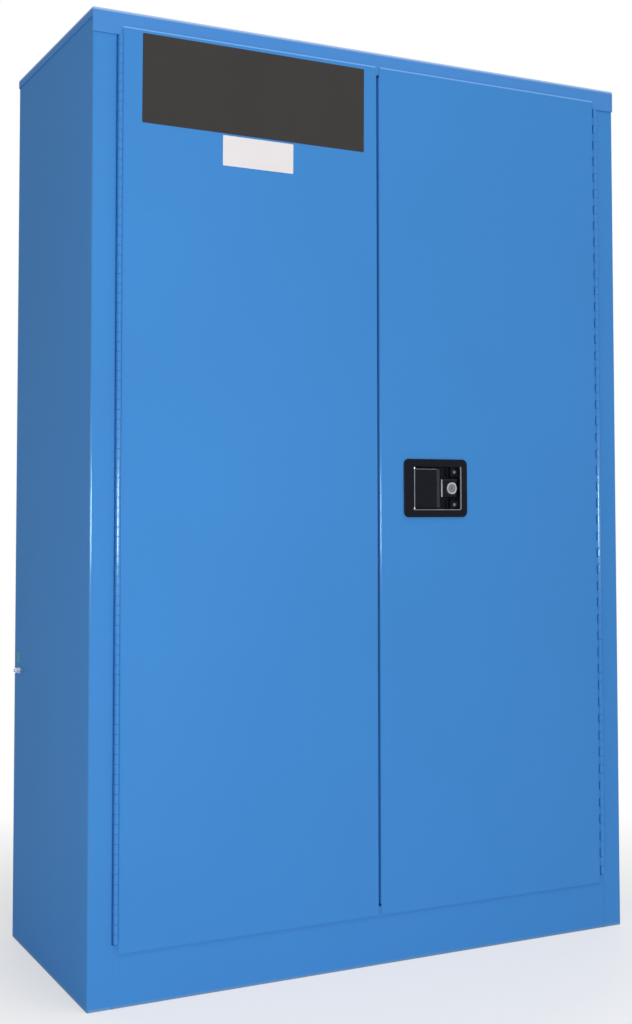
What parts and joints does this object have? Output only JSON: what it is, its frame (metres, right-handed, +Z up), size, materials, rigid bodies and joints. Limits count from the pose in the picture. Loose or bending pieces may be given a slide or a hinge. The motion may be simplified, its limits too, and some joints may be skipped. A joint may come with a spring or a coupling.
{
  "type": "safety storage cabinet",
  "caption": "Two-door double-walled steel safety storage cabinet with shelves, a leak-proof sump, a flush paddle handle, a three-point latch and vented back.",
  "frame": {"origin": "on the floor, under the middle of the shell's footprint", "axes": "+Z up, the front with its doors faces -Y, +X to the right when looking at the front"},
  "size_m": [1.1065, 0.4738, 1.651],
  "materials": {
    "blue_paint": "semi-gloss powder coat",
    "white_paint": "satin powder coat",
    "black_paint": "satin",
    "galvanised_steel": "galvanised",
    "zinc_plate": "bright zinc",
    "chrome_plate": "polished",
    "polyethylene": "moulded",
    "brass": "plain"
  },
  "bodies": {
    "cabinet": {"top_cap": "blue_paint", "left_side_panel": "blue_paint", "right_side_panel": "blue_paint", "back_panel": "blue_paint", "front_sill": "blue_paint", "base_pan": "blue_paint", "header_channel": "blue_paint", "left_liner": "white_paint", "right_liner": "white_paint", "back_liner": "white_paint", "top_liner": "white_paint", "sump_pan": "white_paint", "left_front_standard": "galvanised_steel", "right_front_standard": "galvanised_steel", "left_rear_standard": "galvanised_steel", "right_rear_standard": "galvanised_steel", "lower_left_front_clip": "zinc_plate", "lower_right_front_clip": "zinc_plate", "lower_left_rear_clip": "zinc_plate", "lower_right_rear_clip": "zinc_plate", "upper_left_front_clip": "zinc_plate", "upper_right_front_clip": "zinc_plate", "upper_left_rear_clip": "zinc_plate", "upper_right_rear_clip": "zinc_plate", "low_vent_fitting": "galvanised_steel", "low_vent_screen": "brass", "high_vent_fitting": "galvanised_steel", "high_vent_screen": "brass", "ground_stud": "zinc_plate", "ground_nut": "zinc_plate", "left_frame_leaf": "blue_paint", "right_frame_leaf": "blue_paint"},
    "left_door": {"left_door_leaf": "blue_paint", "left_door_skin": "blue_paint", "left_door_pan": "blue_paint", "left_top_bolt_guide": "zinc_plate", "left_bottom_bolt_guide": "zinc_plate"},
    "right_door": {"right_door_leaf": "blue_paint", "right_door_skin": "blue_paint", "right_door_pan": "blue_paint", "handle_dish": "black_paint", "paddle_pin": "zinc_plate", "lock_barrel": "chrome_plate", "top_rod_guide": "zinc_plate", "bottom_rod_guide": "zinc_plate"},
    "left_top_bolt": {"left_top_bolt": "zinc_plate"},
    "left_bottom_bolt": {"left_bottom_bolt": "zinc_plate"},
    "paddle": {"paddle": "black_paint"},
    "lock_plug": {"lock_plug": "chrome_plate"},
    "latch_wheel": {"latch_wheel": "zinc_plate"},
    "top_latch_rod": {"top_latch_rod": "zinc_plate"},
    "bottom_latch_rod": {"bottom_latch_rod": "zinc_plate"},
    "centre_latch_bolt": {"centre_latch_bolt": "zinc_plate"},
    "lower_shelf": {"lower_shelf": "galvanised_steel"},
    "lower_tray": {"lower_tray": "polyethylene"},
    "upper_shelf": {"upper_shelf": "galvanised_steel"},
    "upper_tray": {"upper_tray": "polyethylene"},
    "sump_tray": {"sump_tray": "polyethylene"},
    "low_vent_cap": {"low_vent_cap": "galvanised_steel"},
    "high_vent_cap": {"high_vent_cap": "galvanised_steel"}
  },
  "joints": [
    {"name": "left_door_hinge", "type": "hinge", "parent": "cabinet", "child": "left_door", "pos_m": [-0.4976, -0.231, 0.8563], "axis": [0, 0, -1], "range_deg": [0, 180]},
    {"name": "right_door_hinge", "type": "hinge", "parent": "cabinet", "child": "right_door", "pos_m": [0.4976, -0.231, 0.8563], "axis": [0, 0, 1], "range_deg": [0, 180]},
    {"name": "paddle_hinge", "type": "hinge", "parent": "right_door", "child": "paddle", "pos_m": [0.0747, -0.231, 0.851], "axis": [0, 0, -1], "range_deg": [0, 40], "stiffness_Nm_per_rad": 0.3, "springref_deg": -20.05},
    {"name": "latch_wheel_pivot", "type": "hinge", "parent": "right_door", "child": "latch_wheel", "pos_m": [0.1002, -0.206, 0.851], "axis": [0, -1, 0], "range_deg": [0, 45]},
    {"name": "top_rod_slide", "type": "slide", "parent": "right_door", "child": "top_latch_rod", "axis": [0, 0, -1], "range_m": [0, 0.01684]},
    {"name": "bottom_rod_slide", "type": "slide", "parent": "right_door", "child": "bottom_latch_rod", "axis": [0, 0, 1], "range_m": [0, 0.01684]},
    {"name": "centre_bolt_slide", "type": "slide", "parent": "right_door", "child": "centre_latch_bolt", "axis": [1, 0, 0], "range_m": [0, 0.01684]},
    {"name": "lock_turn", "type": "hinge", "parent": "right_door", "child": "lock_plug", "pos_m": [0.1544, -0.231, 0.851], "axis": [0, 1, 0], "range_deg": [0, 90]},
    {"name": "left_top_bolt_slide", "type": "slide", "parent": "left_door", "child": "left_top_bolt", "axis": [0, 0, 1], "range_m": [0, 0.014]},
    {"name": "left_bottom_bolt_slide", "type": "slide", "parent": "left_door", "child": "left_bottom_bolt", "axis": [0, 0, -1], "range_m": [0, 0.014]},
    {"name": "lower_shelf_lift", "type": "slide", "parent": "cabinet", "child": "lower_shelf", "axis": [0, 0, 1], "range_m": [0, 0.03]},
    {"name": "lower_tray_lift", "type": "slide", "parent": "lower_shelf", "child": "lower_tray", "axis": [0, 0, 1], "range_m": [0, 0.06]},
    {"name": "upper_shelf_lift", "type": "slide", "parent": "cabinet", "child": "upper_shelf", "axis": [0, 0, 1], "range_m": [0, 0.03]},
    {"name": "upper_tray_lift", "type": "slide", "parent": "upper_shelf", "child": "upper_tray", "axis": [0, 0, 1], "range_m": [0, 0.06]},
    {"name": "sump_tray_lift", "type": "slide", "parent": "cabinet", "child": "sump_tray", "axis": [0, 0, 1], "range_m": [0, 0.06]},
    {"name": "low_vent_cap_slide", "type": "slide", "parent": "cabinet", "child": "low_vent_cap", "axis": [0, 1, 0], "range_m": [0, 0.03]},
    {"name": "high_vent_cap_slide", "type": "slide", "parent": "cabinet", "child": "high_vent_cap", "axis": [0, 1, 0], "range_m": [0, 0.03]}
  ],
  "couplings": [
    {"joint": "latch_wheel_pivot", "follows": "paddle_hinge", "ratio": 1.125},
    {"joint": "top_rod_slide", "follows": "paddle_hinge", "m_per_rad": 0.02411},
    {"joint": "bottom_rod_slide", "follows": "paddle_hinge", "m_per_rad": 0.02411},
    {"joint": "centre_bolt_slide", "follows": "paddle_hinge", "m_per_rad": 0.02411}
  ]
}
